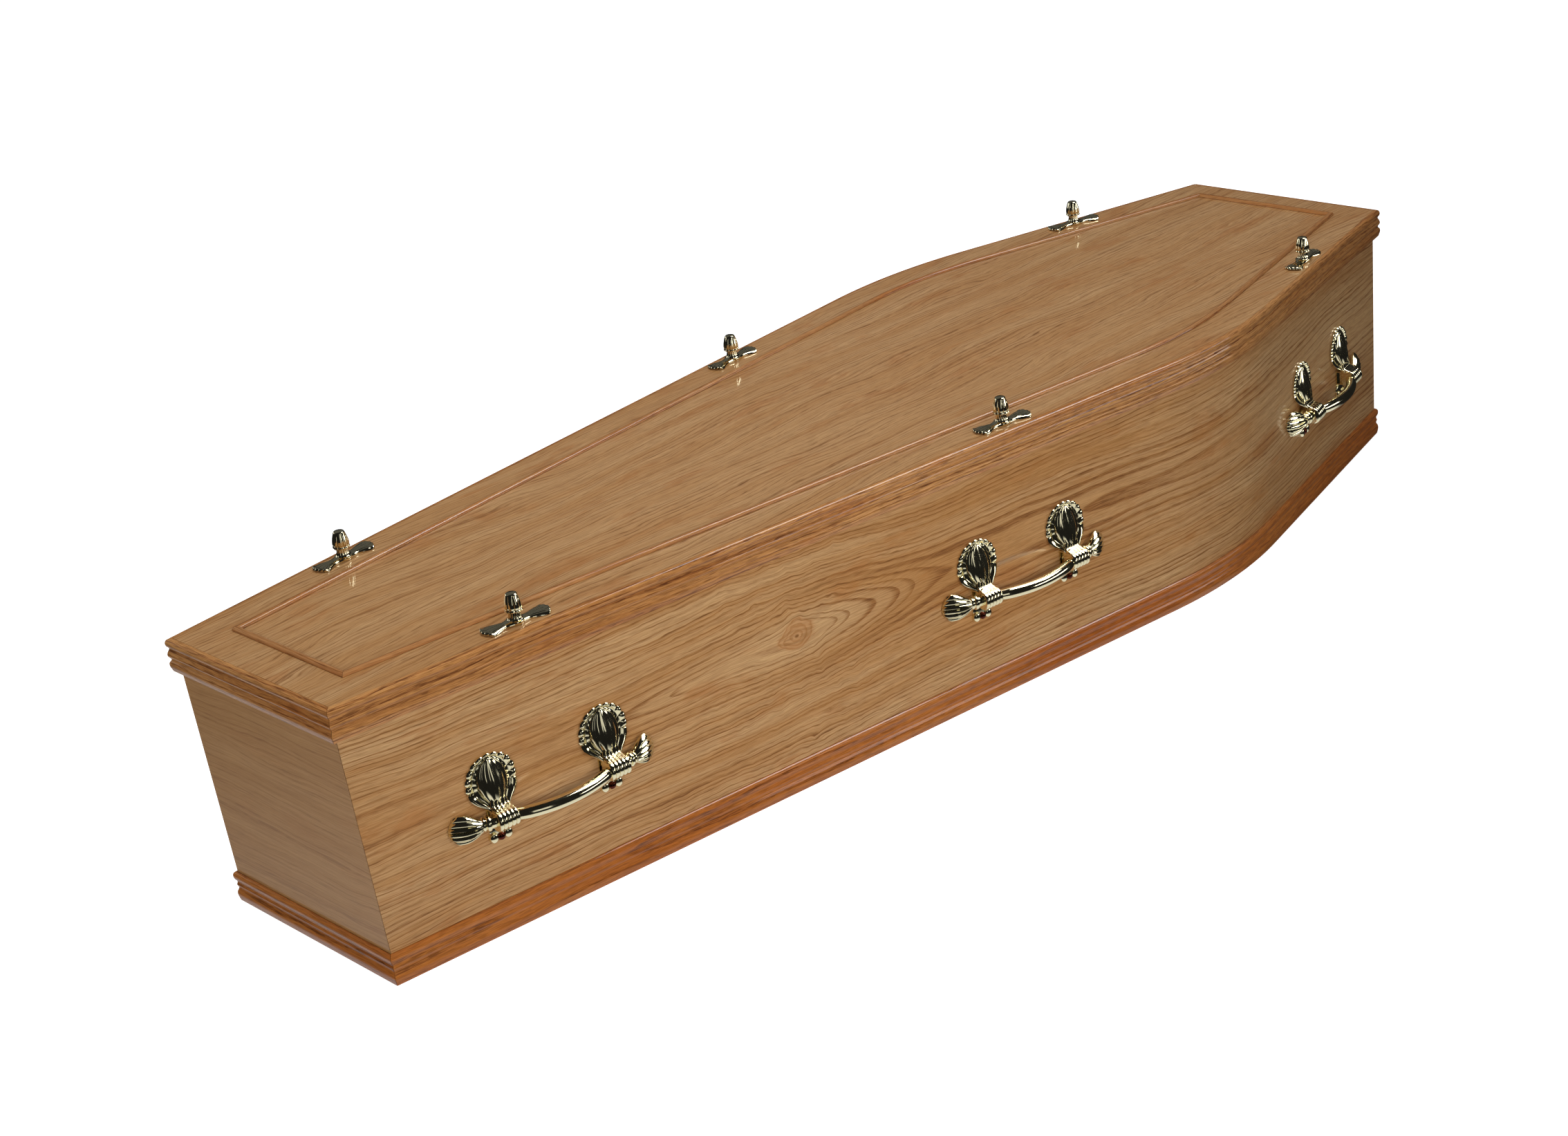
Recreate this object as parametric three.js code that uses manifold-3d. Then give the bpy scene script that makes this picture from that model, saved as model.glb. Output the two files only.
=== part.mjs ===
// A wooden coffin with a rounded shoulder on each side and a flat lift-off lid.
// Millimetres. +X runs from the foot to the head, +Y to the right-hand side, +Z up.
// The origin is on the floor, under the middle of the length.

import * as THREE from 'three';
import { mergeVertices } from 'three/addons/utils/BufferGeometryUtils.js';
import Module from 'manifold-3d';

const wasm = await Module();
wasm.setup();

// The plan, measured to the nose of the lid's edge moulding.
const LENGTH = 1980;
const FOOT_HALF = 165.4;
const SHOULDER_HALF = 327.6;
const HEAD_HALF = 177.1;
const SHOULDER_X = 414.3;
const SHOULDER_RADIUS = 700;
const BEND_STEPS = 4;

// The box: veneered boards, with both end boards leaning in towards the base.
const HEIGHT = 363.6;
const BOARD = 16;
const LID_BOARD = 18;
const BOX_INSET = 9.4;
const END_RAKE = 14;
const GAP = 0.3;

// The mouldings.
const LID_MOULDING_HEIGHT = 41.7;
const LID_MOULDING_DEPTH = 8;
const PLINTH_HEIGHT = 40.9;
const PLINTH_DEPTH = 5.2;
const BEAD_WIDTH = 9;
const BEAD_HEIGHT = 5;
const BEAD_INSET = { side: 60, foot: 60, head: 52 };
const COVE = 2.8;

// The bar handles, three to a side, with their finials.
const HANDLE_HEIGHT = 155;
const HANDLE_X = { foot: -729, middle: 13, head: 742 };
const BRACKET_SPACING = 156;
const BAR_RADIUS = 7.8;
const BAR_WAIST = 7.2;
const BAR_STANDOFF = 24.5;
const BAR_BOW = 15.5;
const BAR_LEVELLING = 0.11;
const RING_AT = 104;
const RING_RADIUS = 9.8;
const FINIAL_TIP = 148;
const FINIAL_REACH = 9;
const FINIAL_HALF = 17.5;
const FINIAL_STANDOFF = 4.4;
const BAR_SIDES = 8;
const BAR_CLEARANCE = 0.5;

// The brackets, measured from the bar's middle line and the face of the board.
const SHELL_RADIUS = 34.5;
const SHELL_CENTRE = 43.5;
const SHELL_SPREAD = 100;
const SHELL_LOBES = 9;
const SHELL_NOTCH = 2.6;
const SHELL_BULGE = 15.5;
const SHELL_RIM = 2.6;
const NECK_HALF = 12;
const NECK_HEIGHT = 9;
const NECK_FRONT = 18.5;
const COLLAR_RADIUS = 12.6;
const COLLAR_WIDTH = 28;
const COLLAR_RIBS = 4;
const RIB_DEPTH = 1.3;
const ARM_HALF = 10.4;
const ARM_WIDTH = 25;
const FOOT_THICKNESS = 4;
const SCREW_DROP = 30;
const SCREW_RADIUS = 4.6;
const SCREW_TIP = 3.4;
const SCREW_FRONT = 7;
const SCREW_SIDES = 6;

// The wreath holders, three along each edge of the lid.
const HOLDER_X = { foot: -728, middle: 16, head: 730 };
const HOLDER_INSET = 26;
const HOLDER_LENGTH = 92;
const HOLDER_PLATE = 4;
const HOLDER_NECK = 14;
const HOLDER_CAP = 23;
const HOLDER_SIDES = 8;
const FAN_HALF = 14.6;
const FAN_RADIUS = 20;
const FAN_NOTCH = 1.8;
const FAN_SPREAD = 52;
const FAN_LOBES = 4;

const HALF = LENGTH / 2;
const LID_BOTTOM = HEIGHT - LID_BOARD;
const FOOT_TAPER = Math.atan2(SHOULDER_HALF - FOOT_HALF, SHOULDER_X + HALF);
const HEAD_TAPER = Math.atan2(SHOULDER_HALF - HEAD_HALF, HALF - SHOULDER_X);

const OAK = new THREE.MeshStandardMaterial({ color: 0xa9794c, roughness: 0.3, metalness: 0 });
const MOULDING_OAK = new THREE.MeshStandardMaterial({ color: 0x9c5a2c, roughness: 0.28, metalness: 0 });
const BRASS = new THREE.MeshStandardMaterial({ color: 0xd9c98a, roughness: 0.12, metalness: 1 });
const DARK_BRASS = new THREE.MeshStandardMaterial({ color: 0x5a3a24, roughness: 0.2, metalness: 1 });

const coffin = new THREE.Group();

// Solids from rings

function point(x, y, z) {
  return new THREE.Vector3(x, y, z);
}

function flatten(ring) {
  const normal = new THREE.Vector3();
  ring.forEach((a, i) => {
    const b = ring[(i + 1) % ring.length];
    normal.x += (a.y - b.y) * (a.z + b.z);
    normal.y += (a.z - b.z) * (a.x + b.x);
    normal.z += (a.x - b.x) * (a.y + b.y);
  });
  const size = [Math.abs(normal.x), Math.abs(normal.y), Math.abs(normal.z)];
  const drop = size.indexOf(Math.max(...size));
  return ring.map((p) => {
    if (drop === 0) return new THREE.Vector2(p.y, p.z);
    if (drop === 1) return new THREE.Vector2(p.z, p.x);
    return new THREE.Vector2(p.x, p.y);
  });
}

function signedVolume(points, faces) {
  return faces.reduce((sum, [a, b, c]) => {
    return sum + points[a].dot(points[b].clone().cross(points[c])) / 6;
  }, 0);
}

// One closed body through a row of rings, each a loop of as many points.
function loft(rings) {
  const size = rings[0].length;
  const points = rings.flat();
  const faces = [];
  for (let r = 0; r + 1 < rings.length; r++) {
    for (let i = 0; i < size; i++) {
      const a = r * size + i;
      const b = r * size + ((i + 1) % size);
      faces.push([a, b, b + size], [a, b + size, a + size]);
    }
  }
  const last = (rings.length - 1) * size;
  const firstCap = capFaces(rings[0], 0);
  const lastCap = capFaces(rings[rings.length - 1], last);
  faces.push(...orient(firstCap, [1, 0]), ...orient(lastCap, [last, last + 1]));
  const turned = signedVolume(points, faces) < 0 ? faces.map(([a, b, c]) => [a, c, b]) : faces;
  return geometry(points, turned);
}

function capFaces(ring, offset) {
  const flat = flatten(ring);
  return THREE.ShapeUtils.triangulateShape(flat, []).map((f) => f.map((i) => i + offset));
}

// A cap's faces turned so that they run along the given edge in that order.
function orient(faces, [from, to]) {
  const along = faces.some((f) => f.some((v, i) => v === from && f[(i + 1) % 3] === to));
  return along ? faces : faces.map(([a, b, c]) => [a, c, b]);
}

function geometry(points, faces) {
  const shape = new THREE.BufferGeometry();
  const positions = new Float32Array(points.flatMap((p) => [p.x, p.y, p.z]));
  shape.setAttribute('position', new THREE.BufferAttribute(positions, 3));
  shape.setIndex(faces.flat());
  shape.computeVertexNormals();
  return shape;
}

// Joining and cutting

function toManifold(shape) {
  const bare = shape.clone();
  bare.deleteAttribute('normal');
  bare.deleteAttribute('uv');
  const merged = mergeVertices(bare, 1e-4);
  const vertProperties = new Float32Array(merged.attributes.position.array);
  const triVerts = new Uint32Array(merged.index.array);
  return new wasm.Manifold(new wasm.Mesh({ numProp: 3, vertProperties, triVerts }));
}

function fromManifold(solid) {
  const mesh = solid.getMesh();
  const shape = new THREE.BufferGeometry();
  shape.setAttribute('position', new THREE.BufferAttribute(new Float32Array(mesh.vertProperties), 3));
  shape.setIndex(Array.from(mesh.triVerts));
  shape.computeVertexNormals();
  return shape;
}

function joined(shapes) {
  return shapes.map(toManifold).reduce((whole, piece) => whole.add(piece));
}

function add(name, shape, material, parent = coffin) {
  const mesh = new THREE.Mesh(shape, material);
  mesh.name = name;
  parent.add(mesh);
  return mesh;
}

// The coffin's plan

const turn = (FOOT_TAPER + HEAD_TAPER) / 2;
const bisector = Math.PI / 2 + (FOOT_TAPER - HEAD_TAPER) / 2;
const bend = {
  x: SHOULDER_X - (Math.cos(bisector) * SHOULDER_RADIUS) / Math.cos(turn),
  y: SHOULDER_HALF - (Math.sin(bisector) * SHOULDER_RADIUS) / Math.cos(turn),
};

function footLineY(x, inset) {
  return FOOT_HALF + (x + HALF) * Math.tan(FOOT_TAPER) - inset / Math.cos(FOOT_TAPER);
}

function headLineY(x, inset) {
  return HEAD_HALF + (HALF - x) * Math.tan(HEAD_TAPER) - inset / Math.cos(HEAD_TAPER);
}

// One side of the outline, set in from the lid's nose, from the foot end to the head end.
function sidePath(inset, footX, headX) {
  const path = [[footX, footLineY(footX, inset)]];
  for (let i = 0; i <= BEND_STEPS; i++) {
    const angle = bisector + turn - (2 * turn * i) / BEND_STEPS;
    const radius = SHOULDER_RADIUS - inset;
    path.push([bend.x + radius * Math.cos(angle), bend.y + radius * Math.sin(angle)]);
  }
  path.push([headX, headLineY(headX, inset)]);
  return path;
}

function rake(z) {
  const top = HEIGHT - LID_MOULDING_HEIGHT;
  return (END_RAKE * (top - z)) / top;
}

// The boards of the box, mitred where the side and end boards meet

const boxFace = (z) => HALF - BOX_INSET - rake(z);

function outlineRing(inset, endX, z) {
  const right = sidePath(inset, -endX, endX);
  const left = right.map(([x, y]) => [x, -y]).reverse();
  return [...right, ...left].map(([x, y]) => point(x, y, z));
}

function sideBoard(side) {
  const rings = [0, LID_BOTTOM - GAP].map((z) => {
    const end = boxFace(z) - GAP;
    const outer = sidePath(BOX_INSET, -end, end);
    const inner = sidePath(BOX_INSET + BOARD, BOARD - end, end - BOARD).reverse();
    return [...outer, ...inner].map(([x, y]) => point(x, side * y, z));
  });
  return loft(rings);
}

function endBoard(end, lineY) {
  const rings = [0, LID_BOTTOM - GAP].map((z) => {
    const outerX = end * boxFace(z);
    const innerX = end * (boxFace(z) - BOARD);
    const outerY = lineY(outerX, BOX_INSET) - GAP;
    const innerY = lineY(innerX, BOX_INSET + BOARD) - GAP;
    return [point(outerX, -outerY, z), point(outerX, outerY, z),
      point(innerX, innerY, z), point(innerX, -innerY, z)];
  });
  return loft(rings);
}

const baseInset = BOX_INSET + BOARD + GAP;
const baseBoard = loft([0, BOARD].map((z) => outlineRing(baseInset, boxFace(z) - BOARD - GAP, z)));
const lidInset = LID_MOULDING_DEPTH + GAP;
const lidBoard = loft([LID_BOTTOM, HEIGHT].map((z) => outlineRing(lidInset, HALF - lidInset, z)));

add('base_board', baseBoard, OAK);
add('side_board_left', sideBoard(-1), OAK);
add('side_board_right', sideBoard(1), OAK);
add('foot_board', endBoard(-1, footLineY), OAK);
add('head_board', endBoard(1, headLineY), OAK);
add('lid_board', lidBoard, OAK);

// The mouldings, four mitred strips to a course

function sideStrip(side, profile, place) {
  const courses = profile.map(([depth, z]) => {
    const inset = place(depth, z);
    return sidePath(inset.side, -HALF + inset.foot + GAP, HALF - inset.head - GAP)
      .map(([x, y]) => point(x, side * y, z));
  });
  return loft(courses[0].map((_, station) => courses.map((course) => course[station])));
}

function endStrip(end, profile, place) {
  const rings = [-1, 1].map((side) => profile.map(([depth, z]) => {
    const inset = place(depth, z);
    const x = end < 0 ? -HALF + inset.foot : HALF - inset.head;
    const y = end < 0 ? footLineY(x, inset.side) : headLineY(x, inset.side);
    return point(x, side * (y - GAP), z);
  }));
  return loft(rings);
}

function addCourse(name, profile, place, material) {
  add(`${name}_left`, sideStrip(-1, profile, place), material);
  add(`${name}_right`, sideStrip(1, profile, place), material);
  add(`${name}_foot`, endStrip(-1, profile, place), material);
  add(`${name}_head`, endStrip(1, profile, place), material);
}

// Three beads of one projection with two coves between them, from the lid's top down.
const lidProfile = [
  [LID_MOULDING_DEPTH, 0],
  [4.2, 0],
  [1.3, 1.4],
  [0, 5.7],
  [0.7, 9.2],
  [COVE, 12.3],
  [0.9, 16.6],
  [0, 20.5],
  [0.9, 23.4],
  [COVE, 26.6],
  [0.3, 30.6],
  [0, 34.4],
  [2.2, LID_MOULDING_HEIGHT],
  [LID_MOULDING_DEPTH, LID_MOULDING_HEIGHT],
].map(([depth, down]) => [depth, HEIGHT - down]);
const atLidEdge = (depth) => ({ side: depth, foot: depth, head: depth });
addCourse('lid_moulding', lidProfile, atLidEdge, MOULDING_OAK);

// The plinth: a round top shoulder, a thin middle bead and a lower bead.
const plinthProfile = [
  [GAP, PLINTH_HEIGHT],
  [2, PLINTH_HEIGHT - 0.2],
  [4.4, PLINTH_HEIGHT - 2.3],
  [PLINTH_DEPTH, PLINTH_HEIGHT - 6.4],
  [4.4, PLINTH_HEIGHT - 10.6],
  [2.6, PLINTH_HEIGHT - 14.2],
  [3.7, PLINTH_HEIGHT - 18.8],
  [2.6, PLINTH_HEIGHT - 23],
  [4.7, PLINTH_HEIGHT - 28],
  [PLINTH_DEPTH, PLINTH_HEIGHT - 33],
  [3.8, 0],
  [GAP, 0],
];
const atBoxFoot = (depth, z) => {
  const end = BOX_INSET + rake(z) - depth;
  return { side: BOX_INSET - depth, foot: end, head: end };
};
addCourse('plinth_moulding', plinthProfile, atBoxFoot, MOULDING_OAK);

const beadProfile = [
  [0, GAP],
  [0.1, 1.6],
  [1.5, 4],
  [4.5, BEAD_HEIGHT],
  [7.5, 4],
  [8.9, 1.6],
  [BEAD_WIDTH, GAP],
].map(([depth, up]) => [depth, HEIGHT + up]);
const onLid = (depth) => ({
  side: BEAD_INSET.side + depth,
  foot: BEAD_INSET.foot + depth,
  head: BEAD_INSET.head + depth,
});
addCourse('lid_bead', beadProfile, onLid, MOULDING_OAK);

// The handles. In a handle's own frame +X runs along the board, +Y out from it, +Z up.

// The bar's middle line: an arc between the collars, then nearly level, then back to the board.
const halfSpan = BRACKET_SPACING / 2;
const bowEnd = halfSpan - COLLAR_WIDTH / 2;
const bowRadius = (bowEnd ** 2 + BAR_BOW ** 2) / (2 * BAR_BOW);

function barLine(s) {
  const along = Math.abs(s);
  if (along <= bowEnd) {
    return BAR_STANDOFF + BAR_BOW - bowRadius + Math.sqrt(bowRadius ** 2 - along ** 2);
  }
  const run = FINIAL_TIP - bowEnd;
  const t = (along - bowEnd) / run;
  const drop = -BAR_LEVELLING * run;
  return BAR_STANDOFF + drop * t + (FINIAL_STANDOFF - BAR_STANDOFF - drop) * t * t;
}

// A round section across the bar's line.
function barRing(s, radius) {
  const rise = barLine(s + 0.5) - barLine(s - 0.5);
  const run = Math.hypot(1, rise);
  return Array.from({ length: BAR_SIDES }, (_, i) => {
    const angle = (2 * Math.PI * i) / BAR_SIDES;
    const out = Math.cos(angle) * radius;
    return point(s - (out * rise) / run, barLine(s) + out / run, Math.sin(angle) * radius);
  });
}

// A finial's section: a fluted fan that widens up and down and thins towards the board.
function finialRing(s, halfHeight, thickness, reach) {
  return Array.from({ length: BAR_SIDES }, (_, i) => {
    const angle = (2 * Math.PI * i) / BAR_SIDES;
    const up = Math.sin(angle);
    const out = Math.cos(angle);
    const flute = i % 2 ? 0.8 : 1;
    const along = s + reach * (1 - up * up) * flute;
    return point(along, barLine(s) + out * thickness * flute, up * halfHeight);
  });
}

// Sections from the middle of the bar, past the collar and the ring, to the end of the fan.
const fanEnd = FINIAL_TIP - FINIAL_REACH - 1;
const halfStations = [
  barRing(bowEnd * 0.35, BAR_RADIUS),
  barRing(bowEnd * 0.7, BAR_RADIUS),
  barRing(bowEnd, BAR_WAIST),
  barRing(RING_AT - 5, BAR_WAIST),
  barRing(RING_AT - 2, RING_RADIUS),
  barRing(RING_AT + 3, BAR_WAIST),
  finialRing(RING_AT + 14, FINIAL_HALF * 0.6, 6.5, 0),
  finialRing(fanEnd - 7, FINIAL_HALF * 0.89, 6, FINIAL_REACH / 2),
  finialRing(fanEnd, FINIAL_HALF, 4, FINIAL_REACH),
];
const mirrored = halfStations.map((ring) => ring.map((p) => point(-p.x, p.y, p.z))).reverse();
const barShape = loft([...mirrored, barRing(0, BAR_RADIUS), ...halfStations]);

// The space that the bracket at one end leaves for the bar.
function barSpace(end) {
  const stations = [bowEnd - 10, bowEnd, RING_AT - 5];
  const rings = stations.map((s) => barRing(s, BAR_RADIUS + BAR_CLEARANCE));
  const placed = rings.map((ring) => ring.map((p) => point(end * (p.x - halfSpan), p.y, p.z)));
  return toManifold(loft(placed));
}

// A scalloped shell: a domed, fluted front over a flat back, level by level up from the collar.
function shellShape() {
  const columns = SHELL_LOBES * 2;
  const spread = THREE.MathUtils.degToRad(SHELL_SPREAD);
  const neck = [];
  const belly = [];
  const rim = [];
  for (let c = 0; c <= columns; c++) {
    const t = (2 * c) / columns - 1;
    const ridge = c % 2;
    const dome = 1 - t * t;
    const reach = SHELL_RADIUS - SHELL_NOTCH * (1 - ridge);
    const atNeck = point(t * NECK_HALF, NECK_FRONT + dome, NECK_HEIGHT);
    const atRim = point(Math.sin(t * spread) * reach, SHELL_RIM, SHELL_CENTRE + Math.cos(t * spread) * reach);
    const atBelly = atNeck.clone().lerp(atRim, 0.6);
    atBelly.y = SHELL_BULGE / 2 + (SHELL_BULGE / 2) * dome + ridge;
    neck.push(atNeck);
    belly.push(atBelly);
    rim.push(atRim);
  }
  closeBack(neck, NECK_HALF - 1, NECK_FRONT - 7, NECK_HEIGHT);
  closeBack(belly, 22, 4, 26);
  closeBack(rim, 29, SHELL_RIM - 0.6, SHELL_CENTRE - 6.5);
  return loft([neck, belly, rim]);
}

// Two more points on a level, which close it behind its front.
function closeBack(level, half, y, z) {
  level.push(point(half, y, z), point(-half, y, z));
}

// The ribbed collar over the outside of the bar.
function collarShape() {
  const arc = [90, 30, -30, -90].map(THREE.MathUtils.degToRad);
  const rings = [];
  for (let c = 0; c <= COLLAR_RIBS * 2; c++) {
    const s = COLLAR_WIDTH * (c / (COLLAR_RIBS * 2) - 0.5);
    const radius = COLLAR_RADIUS - RIB_DEPTH * (1 - (c % 2));
    rings.push(arc.map((a) => point(s, barLine(halfSpan) + radius * Math.cos(a), radius * Math.sin(a))));
  }
  return loft(rings);
}

// The arm that carries the collar off the board.
function armShape() {
  const corners = [[-1, -1], [1, -1], [1, 1], [-1, 1]];
  const section = (y, halfWidth) => corners.map(([i, k]) => point(i * halfWidth, y, k * ARM_HALF));
  return loft([section(GAP, ARM_WIDTH / 2), section(barLine(halfSpan) + 1, ARM_WIDTH / 2)]);
}

// The foot: two small lobes on the board with the screw between them.
function footShape() {
  const outline = [[-12, -8], [-17, -22], [-16, -33], [-10, -38], [-4, -35.5], [0, -38.5],
    [4, -35.5], [10, -38], [16, -33], [17, -22], [12, -8]];
  return loft([GAP, FOOT_THICKNESS].map((y) => outline.map(([s, z]) => point(s, y, z))));
}

function bracketShape(end) {
  return fromManifold(joined([armShape(), collarShape(), shellShape(), footShape()]).subtract(barSpace(end)));
}

const bracketShapes = { [-1]: bracketShape(-1), 1: bracketShape(1) };

function screwRing(radius, y) {
  return Array.from({ length: SCREW_SIDES }, (_, i) => {
    const angle = (2 * Math.PI * i) / SCREW_SIDES;
    return point(radius * Math.cos(angle), y, radius * Math.sin(angle));
  });
}

const screwShape = loft([screwRing(SCREW_RADIUS, FOOT_THICKNESS + GAP), screwRing(SCREW_TIP, SCREW_FRONT)]);

// A group standing on the outer face of a side board, facing out.
function onSide(side, x) {
  const onFootLine = x < SHOULDER_X;
  const y = onFootLine ? footLineY(x, BOX_INSET) : headLineY(x, BOX_INSET);
  const taper = onFootLine ? FOOT_TAPER : -HEAD_TAPER;
  const group = new THREE.Group();
  group.position.set(x, side * y, HANDLE_HEIGHT);
  group.rotation.z = side > 0 ? taper : Math.PI - taper;
  coffin.add(group);
  return group;
}

const sides = { left: -1, right: 1 };
for (const [sideName, side] of Object.entries(sides)) {
  for (const [place, x] of Object.entries(HANDLE_X)) {
    const handle = onSide(side, x);
    add(`handle_bar_${sideName}_${place}`, barShape, BRASS, handle);
    for (const end of [-1, 1]) {
      const towards = end * side > 0 ? 'headward' : 'footward';
      const label = `${sideName}_${place}_${towards}`;
      const bracket = add(`handle_bracket_${label}`, bracketShapes[end], BRASS, handle);
      bracket.position.x = end * halfSpan;
      const screw = add(`handle_screw_${label}`, screwShape, DARK_BRASS, handle);
      screw.position.set(end * halfSpan, 0, -SCREW_DROP);
    }
  }
}

// The wreath holders. In a holder's own frame +X runs along the lid's edge, +Z up.

// Half of the plate's outline: a lobed fan end narrowing to the waist beside the boss.
function fanOutline(end) {
  const outline = [[end * 15, -end * 6.5]];
  for (let i = 0; i <= FAN_LOBES * 2; i++) {
    const angle = THREE.MathUtils.degToRad(FAN_SPREAD * (i / FAN_LOBES - 1));
    const radius = i % 2 ? FAN_RADIUS : FAN_RADIUS - FAN_NOTCH;
    const across = (FAN_HALF * Math.sin(angle)) / Math.sin(THREE.MathUtils.degToRad(FAN_SPREAD));
    outline.push([end * (HOLDER_LENGTH / 2 - FAN_RADIUS + radius * Math.cos(angle)), end * across]);
  }
  outline.push([end * 15, end * 6.5]);
  return outline;
}

function holderRing(radius, z) {
  return Array.from({ length: HOLDER_SIDES }, (_, i) => {
    const angle = (2 * Math.PI * i) / HOLDER_SIDES;
    return point(radius * Math.cos(angle), radius * Math.sin(angle), z);
  });
}

const plateOutline = [...fanOutline(1), [7, 11], [-7, 11], ...fanOutline(-1), [-7, -11], [7, -11]];
const plate = loft([0, HOLDER_PLATE].map((z) => plateOutline.map(([x, y]) => point(x, y, z))));
const neck = loft([holderRing(9.5, HOLDER_PLATE / 2), holderRing(8.5, 7), holderRing(6, HOLDER_NECK)]);
const plateShape = fromManifold(joined([plate, neck]));
const capShape = loft([
  holderRing(8, 0),
  holderRing(10.6, 1.6),
  holderRing(10, 7),
  holderRing(6.8, HOLDER_CAP),
]);

for (const [sideName, side] of Object.entries(sides)) {
  for (const [place, x] of Object.entries(HOLDER_X)) {
    const onFootLine = x < SHOULDER_X;
    const y = onFootLine ? footLineY(x, HOLDER_INSET) : headLineY(x, HOLDER_INSET);
    const holder = new THREE.Group();
    holder.position.set(x, side * y, HEIGHT + GAP);
    holder.rotation.z = side * (onFootLine ? FOOT_TAPER : -HEAD_TAPER);
    coffin.add(holder);
    add(`wreath_holder_plate_${sideName}_${place}`, plateShape, BRASS, holder);
    const cap = add(`wreath_holder_cap_${sideName}_${place}`, capShape, BRASS, holder);
    cap.position.z = HOLDER_NECK + GAP;
  }
}

export default coffin;
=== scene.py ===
"""A shouldered wooden coffin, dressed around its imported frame. Metres, +X to the head, +Z up."""

from math import atan2, cos, exp, hypot, pi, radians, sin, sqrt, tan

import bmesh
import bpy
from mathutils import Matrix, Vector


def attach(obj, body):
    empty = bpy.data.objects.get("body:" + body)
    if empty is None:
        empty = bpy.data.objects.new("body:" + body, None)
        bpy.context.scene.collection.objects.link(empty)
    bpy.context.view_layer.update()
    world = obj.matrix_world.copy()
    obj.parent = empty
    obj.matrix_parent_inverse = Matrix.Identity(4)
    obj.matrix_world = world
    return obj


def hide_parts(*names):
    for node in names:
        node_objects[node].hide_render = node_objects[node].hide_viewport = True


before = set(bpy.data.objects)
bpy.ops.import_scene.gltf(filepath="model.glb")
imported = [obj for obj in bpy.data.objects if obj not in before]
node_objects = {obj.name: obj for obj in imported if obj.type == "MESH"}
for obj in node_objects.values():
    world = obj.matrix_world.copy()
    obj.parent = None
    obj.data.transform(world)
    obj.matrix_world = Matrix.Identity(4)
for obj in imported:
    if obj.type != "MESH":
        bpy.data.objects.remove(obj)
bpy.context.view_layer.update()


# The studio
# A plain pale floor under soft lights, in a white room that polished metal sees as dark.
# The camera stands a little above the foot end, on the left, and is rolled a little.

CAMERA_PLACE = (-2.2753, -2.3873, 1.5733)
CAMERA_TURN = radians(41.51)
CAMERA_DIP = radians(-23.79)
CAMERA_ROLL = radians(-7.18)
CAMERA_LENS = 59.31
ROOM_LIGHT = 0.15
GROUND_SHEEN = 0.8
WALL_SHEEN = 0.09
ROOM_SHEEN = 0.012


def set_up_camera():
    look = Vector((sin(CAMERA_TURN) * cos(CAMERA_DIP), cos(CAMERA_TURN) * cos(CAMERA_DIP), sin(CAMERA_DIP)))
    level_right = Vector((cos(CAMERA_TURN), -sin(CAMERA_TURN), 0))
    level_up = level_right.cross(look)
    right = cos(CAMERA_ROLL) * level_right + sin(CAMERA_ROLL) * level_up
    up = cos(CAMERA_ROLL) * level_up - sin(CAMERA_ROLL) * level_right
    data = bpy.data.cameras.new("camera")
    data.lens = CAMERA_LENS
    data.sensor_width = 36
    data.sensor_fit = "HORIZONTAL"
    data.clip_end = 100
    camera = bpy.data.objects.new("camera", data)
    camera.matrix_world = Matrix.Translation(CAMERA_PLACE) @ Matrix((right, up, -look)).transposed().to_4x4()
    bpy.context.scene.collection.objects.link(camera)
    bpy.context.scene.camera = camera


def add_soft_light(name, place, aim, size, power, lights=True, reflects=True, spread=180):
    data = bpy.data.lights.new(name, "AREA")
    data.shape = "RECTANGLE"
    data.size = size[0]
    data.size_y = size[1]
    data.energy = power
    data.spread = radians(spread)
    light = bpy.data.objects.new(name, data)
    light.location = place
    light.rotation_euler = (Vector(aim) - Vector(place)).to_track_quat("-Z", "Y").to_euler()
    light.visible_diffuse = lights
    light.visible_glossy = reflects
    light.visible_camera = False
    bpy.context.scene.collection.objects.link(light)


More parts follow.
